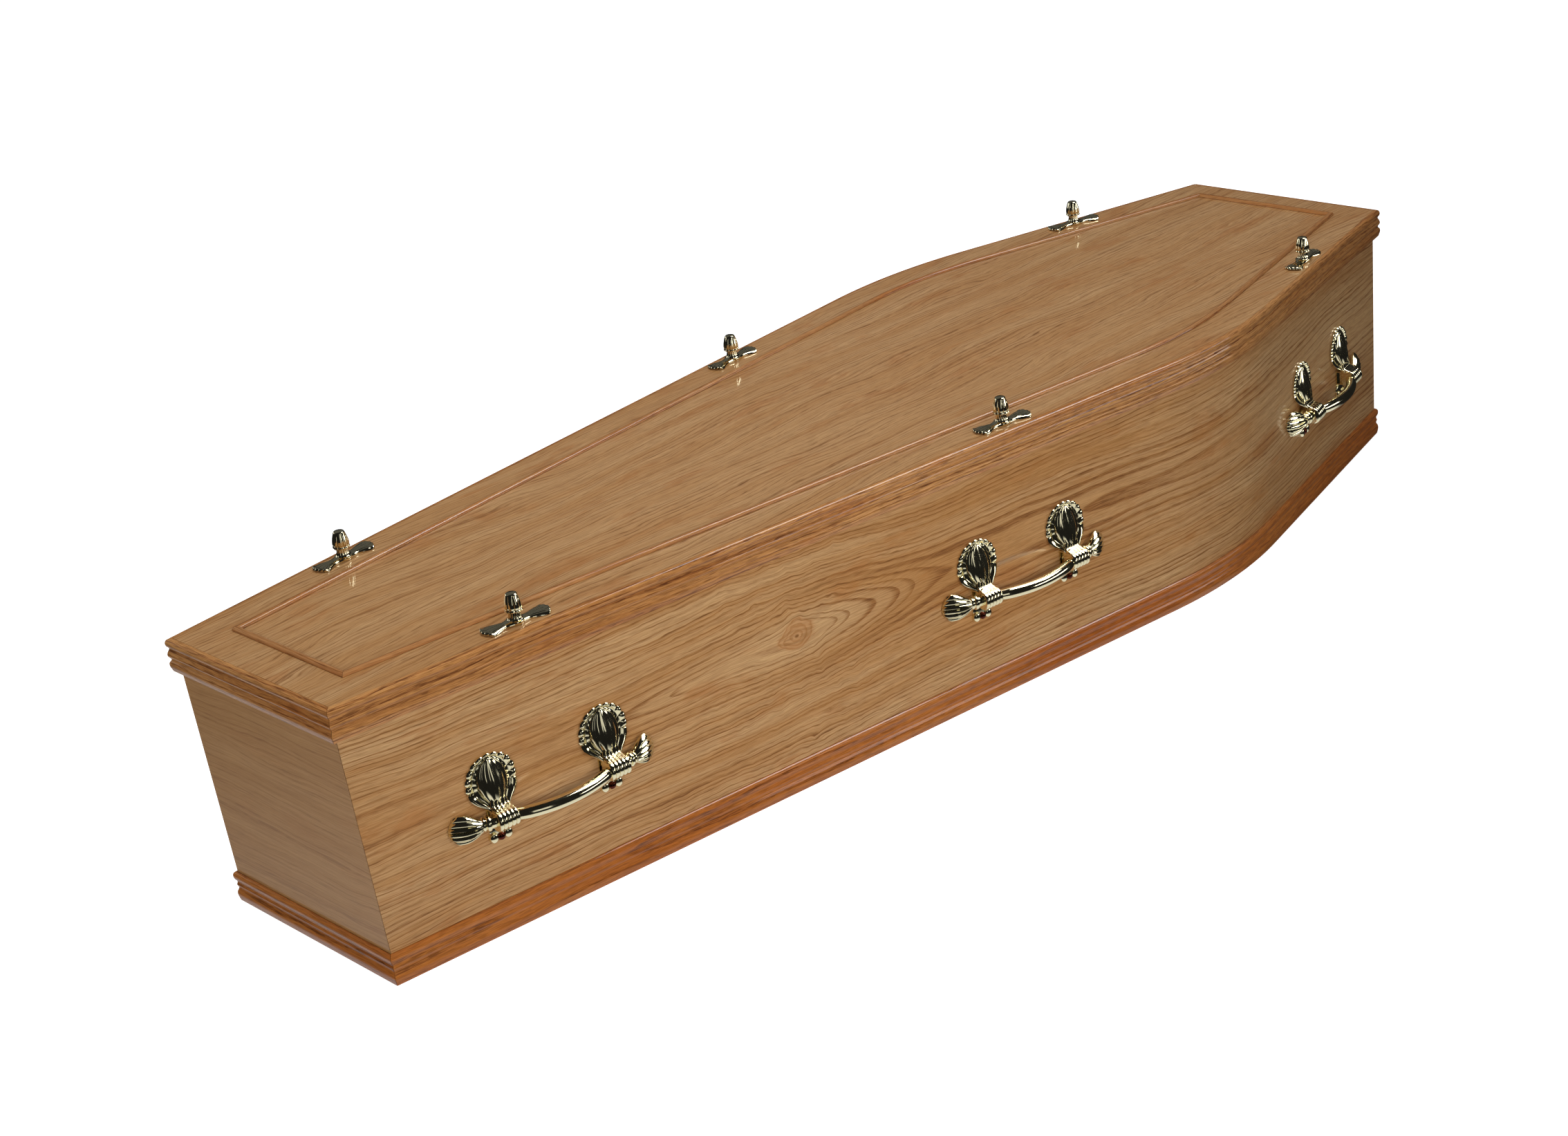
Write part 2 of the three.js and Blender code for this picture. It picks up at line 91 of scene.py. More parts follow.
def set_up_room():
    """White to the camera. Gloss and metal see a dark room with a white ground and a dim far wall."""
    world = bpy.data.worlds.new("room")
    bpy.context.scene.world = world
    world.use_nodes = True
    nodes = world.node_tree.nodes
    links = world.node_tree.links
    source = nodes.new("ShaderNodeTexCoord")
    split = nodes.new("ShaderNodeSeparateXYZ")
    links.new(source.outputs["Generated"], split.inputs["Vector"])

    def ramp(axis, low, high, to_low, to_high):
        node = nodes.new("ShaderNodeMapRange")
        node.interpolation_type = "SMOOTHSTEP"
        for label, value in (("From Min", low), ("From Max", high), ("To Min", to_low), ("To Max", to_high)):
            node.inputs[label].default_value = value
        links.new(split.outputs[axis], node.inputs["Value"])
        return node.outputs["Result"]

    def math(operation, a, b):
        node = nodes.new("ShaderNodeMath")
        node.operation = operation
        links.new(a, node.inputs[0])
        links.new(b, node.inputs[1])
        return node.outputs["Value"]

    ground = math("MULTIPLY", ramp("Z", -0.40, -0.60, 0, GROUND_SHEEN), ramp("X", 0.7, 0.82, 1, 0))
    wall = math("MULTIPLY", ramp("Z", 0.2, 0.3, 0, WALL_SHEEN), ramp("Y", 0.2, 0.4, 0, 1))
    rays = nodes.new("ShaderNodeLightPath")
    room = nodes.new("ShaderNodeMix")
    room.data_type = "RGBA"
    room.inputs["A"].default_value = (ROOM_LIGHT, ROOM_LIGHT, ROOM_LIGHT, 1)
    sheen = math("ADD", ground, wall)
    links.new(math("MAXIMUM", sheen, ramp("Z", -1, 1, ROOM_SHEEN, ROOM_SHEEN)), room.inputs["B"])
    links.new(rays.outputs["Is Glossy Ray"], room.inputs["Factor"])
    seen = nodes.new("ShaderNodeMix")
    seen.data_type = "RGBA"
    seen.inputs["B"].default_value = (1, 1, 1, 1)
    links.new(rays.outputs["Is Camera Ray"], seen.inputs["Factor"])
    links.new(room.outputs["Result"], seen.inputs["A"])
    links.new(seen.outputs["Result"], nodes["Background"].inputs["Color"])


def add_floor():
    bpy.ops.mesh.primitive_plane_add(size=40, location=(0, 0, 0))
    floor = bpy.context.object
    floor.name = "floor"
    floor.visible_glossy = False
    paint = bpy.data.materials.new("floor_paint")
    paint.use_nodes = True
    nodes = paint.node_tree.nodes
    links = paint.node_tree.links
    shader = nodes["Principled BSDF"]
    shader.inputs["Base Color"].default_value = (0.55, 0.55, 0.55, 1)
    shader.inputs["Roughness"].default_value = 1
    shader.inputs["Specular IOR Level"].default_value = 0
    shader.inputs["Emission Color"].default_value = (1, 1, 1, 1)
    rays = nodes.new("ShaderNodeLightPath")
    glow = nodes.new("ShaderNodeMath")
    glow.operation = "MULTIPLY"
    glow.inputs[1].default_value = 0.95
    links.new(rays.outputs["Is Camera Ray"], glow.inputs[0])
    links.new(glow.outputs["Value"], shader.inputs["Emission Strength"])
    floor.data.materials.append(paint)


set_up_camera()
set_up_room()
add_floor()
add_soft_light("foot_key", (-4.6, -3.9, 2.1), (-0.2, 0, 0.2), (2.2, 1.8), 144, reflects=False)
add_soft_light("side_card", (-0.55, -2.3, 0.9), (-0.25, -0.28, 0.17), (1.2, 0.6), 3.2, reflects=False, spread=75)
add_soft_light("far_fill", (2.6, 3.2, 1.6), (0.2, 0, 0.2), (1.6, 1.6), 48, reflects=False)
add_soft_light("top_fill", (-0.2, 0.2, 3.6), (-0.1, 0, 0.3), (2.6, 1.2), 62, reflects=False)
add_soft_light("overhead", (1.35, -0.9, 2.5), (0, 0, 0.3), (1.2, 1.6), 74, lights=False)
add_soft_light("front_strip", (1.6, -2.3, 0.62), (-0.2, -0.2, 0.2), (2.2, 0.45), 12, lights=False)
add_soft_light("front_card", (-1.3, -3.1, 0.75), (-0.4, -0.2, 0.2), (0.9, 1.3), 2.6, lights=False)
add_soft_light("far_strip", (-1.2, 2.6, 0.9), (0, 0.2, 0.2), (2.2, 0.5), 7, lights=False)
bpy.context.scene.view_settings.view_transform = "Standard"


# The veneered boards
# Oak veneer on board, stained honey brown and lacquered to a gloss. The sides are one long board
# each, saw-cut inside the shoulder and bent round it; the ends lean in and meet them in mitres.

HALF_LENGTH = 0.990
FOOT_HALF = 0.1654
SHOULDER_HALF = 0.3276
HEAD_HALF = 0.1771
SHOULDER_X = 0.4143
SHOULDER_RADIUS = 0.700
BEND_STEPS = 28
HEIGHT = 0.3636
BOARD = 0.016
LID_BOARD = 0.018
BOX_INSET = 0.0094
END_RAKE = 0.014
GAP = 0.0003
LID_MOULDING_HEIGHT = 0.0417
LID_MOULDING_DEPTH = 0.008
LID_BOTTOM = HEIGHT - LID_BOARD

foot_taper = atan2(SHOULDER_HALF - FOOT_HALF, SHOULDER_X + HALF_LENGTH)
head_taper = atan2(SHOULDER_HALF - HEAD_HALF, HALF_LENGTH - SHOULDER_X)
bend_turn = (foot_taper + head_taper) / 2
bend_facing = pi / 2 + (foot_taper - head_taper) / 2
bend_centre_x = SHOULDER_X - cos(bend_facing) * SHOULDER_RADIUS / cos(bend_turn)
bend_centre_y = SHOULDER_HALF - sin(bend_facing) * SHOULDER_RADIUS / cos(bend_turn)


def foot_line(x, inset):
    return FOOT_HALF + (x + HALF_LENGTH) * tan(foot_taper) - inset / cos(foot_taper)


def head_line(x, inset):
    return HEAD_HALF + (HALF_LENGTH - x) * tan(head_taper) - inset / cos(head_taper)


def side_path(inset, foot_x, head_x):
    """One side of the plan, set in from the lid's nose, from the foot end to the head end."""
    path = [(foot_x, foot_line(foot_x, inset))]
    for i in range(BEND_STEPS + 1):
        angle = bend_facing + bend_turn - 2 * bend_turn * i / BEND_STEPS
        radius = SHOULDER_RADIUS - inset
        path.append((bend_centre_x + radius * cos(angle), bend_centre_y + radius * sin(angle)))
    path.append((head_x, head_line(head_x, inset)))
    return path


def rake(z):
    top = HEIGHT - LID_MOULDING_HEIGHT
    return END_RAKE * (top - z) / top


def box_face(z):
    return HALF_LENGTH - BOX_INSET - rake(z)


def build_mesh(name, rings, grain=None):
    """A closed body through rings of as many points each, with a place in the grain for every point."""
    size = len(rings[0])
    mesh = bpy.data.meshes.new(name)
    points = [p for ring in rings for p in ring]
    faces = []
    for r in range(len(rings) - 1):
        for i in range(size):
            a = r * size + i
            b = r * size + (i + 1) % size
            faces.append((a, b, b + size, a + size))
    last = (len(rings) - 1) * size
    faces.append(tuple(reversed(range(size))))
    faces.append(tuple(range(last, last + size)))
    mesh.from_pydata(points, [], faces)
    if grain:
        layer = mesh.attributes.new("grain", "FLOAT_VECTOR", "POINT")
        layer.data.foreach_set("vector", [c for ring in grain for place in ring for c in place])
    work = bmesh.new()
    work.from_mesh(mesh)
    bmesh.ops.recalc_face_normals(work, faces=work.faces)
    work.to_mesh(mesh)
    work.free()
    mesh.shade_smooth()
    mesh.set_sharp_from_angle(angle=radians(32))
    return mesh


def add_piece(name, mesh, material, slot, *stands_for, place=None):
    piece = bpy.data.objects.new(name, mesh)
    if place is not None:
        piece.matrix_world = place
    bpy.context.scene.collection.objects.link(piece)
    if not mesh.materials:
        mesh.materials.append(material)
    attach(piece, "root")
    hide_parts(*stands_for)
    return piece


def new_group(name, takes, gives):
    """An empty shader group with its named sockets, and its input and output nodes."""
    group = bpy.data.node_groups.new(name, "ShaderNodeTree")
    for label, kind, value in takes:
        socket = group.interface.new_socket(label, in_out="INPUT", socket_type=kind)
        if value is not None:
            socket.default_value = value
    for label, kind in gives:
        group.interface.new_socket(label, in_out="OUTPUT", socket_type=kind)
    return group, group.nodes.new("NodeGroupInput"), group.nodes.new("NodeGroupOutput")


class Wiring:
    """Adds nodes to a tree and links them, so that a material reads from top to bottom."""

    def __init__(self, tree):
        self.tree = tree

    def put(self, socket, value):
        if isinstance(value, bpy.types.NodeSocket):
            self.tree.links.new(value, socket)
        else:
            socket.default_value = value

    def math(self, operation, *values):
        node = self.tree.nodes.new("ShaderNodeMath")
        node.operation = operation
        for socket, value in zip(node.inputs, values):
            self.put(socket, value)
        return node.outputs[0]

    def combine(self, x, y, z):
        node = self.tree.nodes.new("ShaderNodeCombineXYZ")
        for socket, value in zip(node.inputs, (x, y, z)):
            self.put(socket, value)
        return node.outputs[0]

    def split(self, vector):
        node = self.tree.nodes.new("ShaderNodeSeparateXYZ")
        self.put(node.inputs[0], vector)
        return node.outputs

    def noise(self, vector, scale=1, detail=2, roughness=0.5):
        node = self.tree.nodes.new("ShaderNodeTexNoise")
        self.put(node.inputs["Vector"], vector)
        self.put(node.inputs["Scale"], scale)
        self.put(node.inputs["Detail"], detail)
        self.put(node.inputs["Roughness"], roughness)
        return node.outputs["Fac"]

    def between(self, value, low, high, to_low=0, to_high=1):
        node = self.tree.nodes.new("ShaderNodeMapRange")
        node.interpolation_type = "SMOOTHSTEP"
        for label, given in zip(("Value", "From Min", "From Max", "To Min", "To Max"),
                                (value, low, high, to_low, to_high)):
            self.put(node.inputs[label], given)
        return node.outputs["Result"]

    def mix(self, amount, a, b, how="MIX"):
        node = self.tree.nodes.new("ShaderNodeMix")
        node.data_type = "RGBA"
        node.blend_type = how
        self.put(node.inputs["Factor"], amount)
        self.put(node.inputs["A"], a)
        self.put(node.inputs["B"], b)
        return node.outputs["Result"]


def build_oak_figure():
    """Growth rings cut flat along the trunk, with their open pores, fibres and slow changes of tone."""
    group, given, made = new_group(
        "oak_figure",
        [("Grain", "NodeSocketVector", None), ("Ring Width", "NodeSocketFloat", 0.009),
         ("Wave", "NodeSocketFloat", 0.02), ("Heart", "NodeSocketFloat", 0.0),
         ("Depth", "NodeSocketFloat", 0.05), ("Run Out", "NodeSocketFloat", 0.0),
         ("Knot", "NodeSocketVector", (9, 9, 0)), ("Knot Size", "NodeSocketFloat", 0.02),
         ("Scattered Pores", "NodeSocketFloat", 0.3), ("Pore Scale", "NodeSocketFloat", 1.0)],
        [("Rings", "NodeSocketFloat"), ("Pores", "NodeSocketFloat"), ("Fibres", "NodeSocketFloat"),
         ("Tone", "NodeSocketFloat"), ("Stain", "NodeSocketFloat"), ("Eye", "NodeSocketFloat")])
    w = Wiring(group)
    along, across, layer = w.split(given.outputs["Grain"])
    knot_along, knot_across, _ = w.split(given.outputs["Knot"])
    wave = given.outputs["Wave"]

    def stretched(by_along, by_across, over, detail=2, roughness=0.5):
        place = w.combine(w.math("MULTIPLY", along, by_along), w.math("MULTIPLY", over, by_across), layer)
        return w.noise(place, 1, detail, roughness)

    slow = w.math("MULTIPLY", w.math("SUBTRACT", stretched(1.9, 5.0, across), 0.5), wave)
    ripple = w.math("MULTIPLY", w.math("SUBTRACT", stretched(8.0, 24.0, across), 0.5), w.math("MULTIPLY", wave, 0.22))
    shiver = w.math("MULTIPLY", w.math("SUBTRACT", stretched(30.0, 140.0, across, 1), 0.5), 0.0016)
    swayed = w.math("ADD", across, w.math("ADD", slow, w.math("ADD", ripple, shiver)))

    # The grain flows round a knot, which has small closed rings of its own.
    size = given.outputs["Knot Size"]
    from_along = w.math("MULTIPLY", w.math("SUBTRACT", along, knot_along), 0.7)
    from_across = w.math("SUBTRACT", swayed, knot_across)
    straight = w.math("SQRT", w.math("ADD", w.math("MULTIPLY", from_along, from_along),
                                     w.math("MULTIPLY", from_across, from_across)))
    swirl = w.math("SUBTRACT", stretched(34.0, 42.0, across, 2), 0.5)
    away = w.math("MULTIPLY", straight, w.math("ADD", 1, w.math("MULTIPLY", swirl, 1.5)))
    push = w.math("DIVIDE", w.math("MULTIPLY", size, size),
                  w.math("ADD", w.math("MULTIPLY", away, away), w.math("MULTIPLY", size, size)))
    flow = w.math("SUBTRACT", swayed, w.math("MULTIPLY", from_across, w.math("MULTIPLY", push, 0.85)))
    eye = w.between(away, w.math("MULTIPLY", size, 1.05), w.math("MULTIPLY", size, 0.8))

    # Rings seen on the face of a board cut beside the heart close in long pointed arches.
    from_heart = w.math("SUBTRACT", flow, given.outputs["Heart"])
    drift = w.noise(w.combine(w.math("MULTIPLY", along, 2.3), 4.0, layer), 1, 2, 0.5)
    past_knot = w.math("SUBTRACT", along, knot_along)
    run_out = w.math("MULTIPLY", w.math("MAXIMUM", w.between(past_knot, 0, 0.24),
                                        w.between(past_knot, 0, -0.4, 0, 0.5)), given.outputs["Run Out"])
    depth = w.math("ADD", w.math("MULTIPLY", given.outputs["Depth"], drift), run_out)
    radius = w.math("SQRT", w.math("ADD", w.math("MULTIPLY", from_heart, from_heart),
                                   w.math("MULTIPLY", depth, depth)))
    uneven = w.noise(w.combine(w.math("MULTIPLY", along, 0.7), w.math("MULTIPLY", radius, 75), layer), 1, 2, 0.5)
    phase = w.math("FRACT", w.math("ADD", w.math("DIVIDE", radius, given.outputs["Ring Width"]),
                                   w.math("MULTIPLY", uneven, 2.4)))
    line = w.math("MULTIPLY", w.between(phase, 0.55, 0.92), w.between(phase, 0.94, 1.0, 1, 0))
    strength = w.noise(w.combine(w.math("MULTIPLY", along, 1.6), w.math("MULTIPLY", radius, 60), layer), 1, 2, 0.5)
    board_rings = w.math("MULTIPLY", line, w.between(strength, 0.3, 0.62, 0.25, 1))
    knot_phase = w.math("FRACT", w.math("ADD", w.math("DIVIDE", away, w.math("MULTIPLY", size, 0.26)),
                                        w.math("MULTIPLY", uneven, 1.5)))
    knot_rings = w.math("MULTIPLY", w.between(knot_phase, 0.3, 0.85), w.between(knot_phase, 0.85, 1.0, 1, 0))
    rings = w.math("ADD", w.math("MULTIPLY", board_rings, w.math("SUBTRACT", 1, eye)),
                   w.math("MULTIPLY", w.math("MULTIPLY", knot_rings, 0.6), eye))
    heart = w.between(away, w.math("MULTIPLY", size, 0.16), w.math("MULTIPLY", size, 0.05))

    over_pores = w.math("MULTIPLY", flow, given.outputs["Pore Scale"])
    fine = w.between(stretched(48, 1150, over_pores, 1), 0.50, 0.60)
    coarse = w.between(stretched(22, 620, over_pores, 2, 0.6), 0.54, 0.63)
    dashes = w.math("MAXIMUM", w.math("MULTIPLY", fine, 0.8), coarse)
    gathered = w.math("ADD", given.outputs["Scattered Pores"], w.math("MULTIPLY", board_rings, 0.7))
    pores = w.math("MAXIMUM", w.math("MULTIPLY", dashes, gathered), heart)
    fibres = w.between(stretched(9, 900, flow, 3, 0.75), 0.36, 0.66)
    tone = w.noise(w.combine(w.math("MULTIPLY", along, 1.7), w.math("MULTIPLY", radius, 34), layer), 1, 3, 0.5)
    stain = w.between(stretched(6.5, 23, flow, 4, 0.62), 0.54, 0.68)
    for label, value in (("Rings", rings), ("Pores", pores), ("Fibres", fibres), ("Tone", tone), ("Stain", stain),
                         ("Eye", eye)):
        w.put(made.inputs[label], value)
    return group


oak_figure = build_oak_figure()

OAK_PALE = (0.620, 0.385, 0.178, 1)
OAK_WARM = (0.500, 0.252, 0.086, 1)
OAK_RING = (0.270, 0.100, 0.024, 1)
OAK_PORE = (0.150, 0.052, 0.012, 1)
OAK_STAIN = (0.420, 0.160, 0.040, 1)
END_PALE = (0.520, 0.290, 0.112, 1)
END_WARM = (0.430, 0.218, 0.070, 1)


def lacquered_oak(name, grain_from, colours, ring_width=0.009, wave=0.02, heart=0.0, depth=0.05, run_out=0.0,
                  knot=None, knot_size=0.02, ring_strength=0.75, pore_strength=0.75, scattered=0.4, pore_scale=1.0,
                  evenness=0.5, stain_strength=0.5, gloss=0.07, seed=0.0):
    """Veneer or solid oak under clear lacquer. grain_from is the grain attribute, or the board's own plane."""
    material = bpy.data.materials.new(name)
    material.use_nodes = True
    tree = material.node_tree
    w = Wiring(tree)
    pale, warm, ring, pore, stain = colours
    if grain_from == "grain":
        source = tree.nodes.new("ShaderNodeAttribute")
        source.attribute_name = "grain"
        place = source.outputs["Vector"]
    else:
        source = tree.nodes.new("ShaderNodeTexCoord")
        x, y, z = w.split(source.outputs["Object"])
        axes = {"x": x, "y": y, "z": z}
        place = w.combine(axes[grain_from[0]], axes[grain_from[1]], seed)
    figure = tree.nodes.new("ShaderNodeGroup")
    figure.node_tree = oak_figure
    w.put(figure.inputs["Grain"], place)
    figure.inputs["Ring Width"].default_value = ring_width
    figure.inputs["Wave"].default_value = wave
    figure.inputs["Heart"].default_value = heart
    figure.inputs["Depth"].default_value = depth
    figure.inputs["Run Out"].default_value = run_out
    figure.inputs["Knot Size"].default_value = knot_size
    figure.inputs["Scattered Pores"].default_value = scattered
    figure.inputs["Pore Scale"].default_value = pore_scale
    if knot:
        figure.inputs["Knot"].default_value = knot
    toned = w.mix(w.between(figure.outputs["Tone"], 0.3, 0.7, 0.5 - evenness, 0.5 + evenness), pale, warm)
    fibred = w.mix(w.math("MULTIPLY", figure.outputs["Fibres"], 0.38), toned, ring)
    stained = w.mix(w.math("MULTIPLY", figure.outputs["Stain"], stain_strength), fibred, stain)
    ringed = w.mix(w.math("MULTIPLY", figure.outputs["Rings"], ring_strength), stained, ring)
    eyed = w.mix(w.math("MULTIPLY", figure.outputs["Eye"], 0.4), ringed, stain)
    pored = w.mix(w.math("MULTIPLY", figure.outputs["Pores"], pore_strength), eyed, pore)
    shader = tree.nodes["Principled BSDF"]
    w.put(shader.inputs["Base Color"], pored)
    shader.inputs["Roughness"].default_value = 0.5
    shader.inputs["Specular IOR Level"].default_value = 0.1
    shader.inputs["Coat Weight"].default_value = 0.6
    shader.inputs["Coat Roughness"].default_value = gloss
    bump = tree.nodes.new("ShaderNodeBump")
    bump.inputs["Strength"].default_value = 0.2
    bump.inputs["Distance"].default_value = 0.0002
    bump.invert = True
    w.put(bump.inputs["Height"], figure.outputs["Pores"])
    w.put(shader.inputs["Normal"], bump.outputs["Normal"])
    return material


board_colours = (OAK_PALE, OAK_WARM, OAK_RING, OAK_PORE, OAK_STAIN)
side_oak = lacquered_oak("side_oak", "xz", board_colours, ring_width=0.0064, wave=0.045, heart=0.205,
                         depth=0.02, run_out=0.035, knot=(-0.358, 0.208, 0), knot_size=0.020, gloss=0.15, seed=1.3)
lid_oak = lacquered_oak("lid_oak", "xy", board_colours, ring_width=0.0075, wave=0.09, heart=0.7,
                        depth=0.1, ring_strength=0.55, evenness=0.3, gloss=0.07, seed=5.1)
end_colours = (END_PALE, END_WARM, OAK_RING, OAK_PORE, OAK_STAIN)
end_oak = lacquered_oak("end_oak", "yz", end_colours, ring_width=0.009, wave=0.05, heart=-0.6,
                        depth=0.1, ring_strength=0.3, pore_strength=0.35, evenness=0.25, stain_strength=0.12,
                       seed=8.7)
base_oak = lacquered_oak("base_oak", "xy", end_colours, ring_width=0.012, wave=0.06, heart=0.4,
                         depth=0.1, ring_strength=0.3, pore_strength=0.3, evenness=0.3, gloss=0.4, seed=14.2)


def board_section(depth, low, high, round_over=0.0008):
    """A board's section as (depth in from the face, height), with its outer edges just broken."""
    outside = [(round_over, low), (0, low + round_over), (0, high - round_over), (round_over, high)]
    return outside + [(depth, high), (depth, low)]


def side_rail(name, section, side, inset_at, material, slot, seed=0.0):
    """A strip along one side, with its ends mitred or square as inset_at says."""
    courses = []
    for depth, z in section:
        inset, foot_inset, head_inset = inset_at(depth, z)
        path = side_path(inset, -HALF_LENGTH + foot_inset + GAP, HALF_LENGTH - head_inset - GAP)
        courses.append([(x, side * y, z) for x, y in path])
    rings = [[course[i] for course in courses] for i in range(len(courses[0]))]
    around = [0]
    for a, b in zip(section, section[1:]):
        around.append(around[-1] + hypot(b[0] - a[0], b[1] - a[1]))
    grain = []
    run = 0
    for i, ring in enumerate(rings):
        if i:
            run += (Vector(ring[0]) - Vector(rings[i - 1][0])).length
        grain.append([(run, distance, seed) for distance in around])
    return add_piece(f"{name}_piece", build_mesh(name, rings, grain), material, slot, name)


def end_rail(name, section, end, inset_at, material, slot, seed=0.0):
    """A strip across one end, mitred to the side strips."""
    line = foot_line if end < 0 else head_line
    rings = []
    for side in (-1, 1):
        ring = []
        for depth, z in section:
            inset, foot_inset, head_inset = inset_at(depth, z)
            x = -HALF_LENGTH + foot_inset if end < 0 else HALF_LENGTH - head_inset
            ring.append((x, side * (line(x, inset) - GAP), z))
        rings.append(ring)
    around = [0]
    for a, b in zip(section, section[1:]):
        around.append(around[-1] + hypot(b[0] - a[0], b[1] - a[1]))
    grain = [[(ring[k][1], around[k], seed) for k in range(len(section))] for ring in rings]
    return add_piece(f"{name}_piece", build_mesh(name, rings, grain), material, slot, name)


def box_wall(depth, z):
    end = BOX_INSET + rake(z) + depth
    return BOX_INSET + depth, end, end


def lid_edge(depth, z):
    return depth, depth, depth


for side, side_name in ((-1, "left"), (1, "right")):
    side_rail(f"side_board_{side_name}", board_section(BOARD, 0, LID_BOTTOM - GAP), side, box_wall,
              side_oak, "oak_board")

lid_inset = LID_MOULDING_DEPTH + GAP
lid_rings = []
for z in (LID_BOTTOM, HEIGHT):
    right_edge = side_path(lid_inset, -HALF_LENGTH + lid_inset, HALF_LENGTH - lid_inset)
    left_edge = [(x, -y) for x, y in reversed(right_edge)]
    lid_rings.append([(x, y, z) for x, y in right_edge + left_edge])
add_piece("lid_board_piece", build_mesh("lid_board", lid_rings), lid_oak, "oak_board", "lid_board")

for node_name, veneer in (("foot_board", end_oak), ("head_board", end_oak), ("base_board", base_oak)):
    node = node_objects[node_name]
    node.data.materials.clear()
    node.data.materials.append(veneer)


# The lid's edge moulding
# A solid oak strip glued to the lid's edge and hanging down over the box's rim. Three beads of one
# projection with two coves between them, mitred at the corners.

COVE = 0.0028
MOULDING_PALE = (0.60, 0.300, 0.100, 1)
MOULDING_WARM = (0.44, 0.170, 0.038, 1)
MOULDING_RING = (0.26, 0.080, 0.014, 1)
MOULDING_PORE = (0.11, 0.030, 0.005, 1)
MOULDING_STAIN = (0.40, 0.125, 0.024, 1)
moulding_colours = (MOULDING_PALE, MOULDING_WARM, MOULDING_RING, MOULDING_PORE, MOULDING_STAIN)
moulding_oak = lacquered_oak("moulding_oak", "grain", moulding_colours, ring_width=0.006, wave=0.03,
                             heart=-0.01, depth=0.03, ring_strength=0.8, pore_strength=1.0, scattered=0.5,
                             pore_scale=0.8, gloss=0.05)


def smooth_line(points, steps):
    """More points through the given ones, on a smooth curve."""
    curve = []
    for i in range(len(points) - 1):
        p0 = points[max(i - 1, 0)]
        p1 = points[i]
        p2 = points[i + 1]
        p3 = points[min(i + 2, len(points) - 1)]
        for k in range(steps):
            t = k / steps
            curve.append(tuple(
                0.5 * (2 * b + (c - a) * t + (2 * a - 5 * b + 4 * c - d) * t * t + (3 * b - a - 3 * c + d) * t ** 3)
                for a, b, c, d in zip(p0, p1, p2, p3)))
    curve.append(points[-1])
    return curve


lid_moulding_face = smooth_line([
    (0.0046, 0.0), (0.0025, 0.0006), (0.0008, 0.0024), (0.0, 0.0057), (0.0007, 0.0092), (COVE, 0.0123), (0.0009, 0.0166),
    (0.0, 0.0205), (0.0009, 0.0234), (COVE, 0.0266), (0.0003, 0.0306), (0.0, 0.0344),
    (0.0022, LID_MOULDING_HEIGHT)], 4)
lid_moulding_section = [(LID_MOULDING_DEPTH, 0.0)] + lid_moulding_face + [(LID_MOULDING_DEPTH, LID_MOULDING_HEIGHT)]
lid_moulding_section = [(max(depth, 0), HEIGHT - down) for depth, down in lid_moulding_section]


def four_strips(name, section, inset_at, material, slot):
    side_rail(f"{name}_left", section, -1, inset_at, material, slot, seed=2.0)
    side_rail(f"{name}_right", section, 1, inset_at, material, slot, seed=11.0)
    end_rail(f"{name}_foot", section, -1, inset_at, material, slot, seed=23.0)
    end_rail(f"{name}_head", section, 1, inset_at, material, slot, seed=37.0)


four_strips("lid_moulding", lid_moulding_section, lid_edge, moulding_oak, "oak_moulding")


# The plinth moulding
# A solid oak strip round the foot of the box, pinned outside the walls and leaning in with the ends.
# A round top shoulder, a thin middle bead and a lower bead.

PLINTH_HEIGHT = 0.0409
PLINTH_DEPTH = 0.0052
PLINTH_PALE = (0.55, 0.198, 0.040, 1)
PLINTH_WARM = (0.42, 0.110, 0.012, 1)
PLINTH_RING = (0.25, 0.065, 0.009, 1)
plinth_colours = (PLINTH_PALE, PLINTH_WARM, PLINTH_RING, MOULDING_PORE, MOULDING_STAIN)
plinth_oak = lacquered_oak("plinth_oak", "grain", plinth_colours, ring_width=0.008, wave=0.03,
                           heart=0.02, depth=0.04, ring_strength=0.65, pore_strength=0.9, scattered=0.45,
                           pore_scale=0.8, gloss=0.05)
plinth_face = smooth_line([
    (GAP, PLINTH_HEIGHT), (0.002, PLINTH_HEIGHT - 0.0002), (0.0044, PLINTH_HEIGHT - 0.0023),
    (PLINTH_DEPTH, PLINTH_HEIGHT - 0.0064), (0.0044, PLINTH_HEIGHT - 0.0106),
    (0.0026, PLINTH_HEIGHT - 0.0142), (0.0037, PLINTH_HEIGHT - 0.0188), (0.0026, PLINTH_HEIGHT - 0.023),
    (0.0047, PLINTH_HEIGHT - 0.028), (PLINTH_DEPTH, PLINTH_HEIGHT - 0.033), (0.0038, 0.0)], 4)
plinth_section = [(min(out, PLINTH_DEPTH), z) for out, z in plinth_face] + [(GAP, 0.0)]


def box_foot(out, z):
    end = BOX_INSET + rake(z) - out
    return BOX_INSET - out, end, end


four_strips("plinth_moulding", plinth_section, box_foot, plinth_oak, "oak_moulding")


# The bead on the lid
# A half-round oak strip pinned to the lid as a frame, set in from the edge and mitred at the corners.

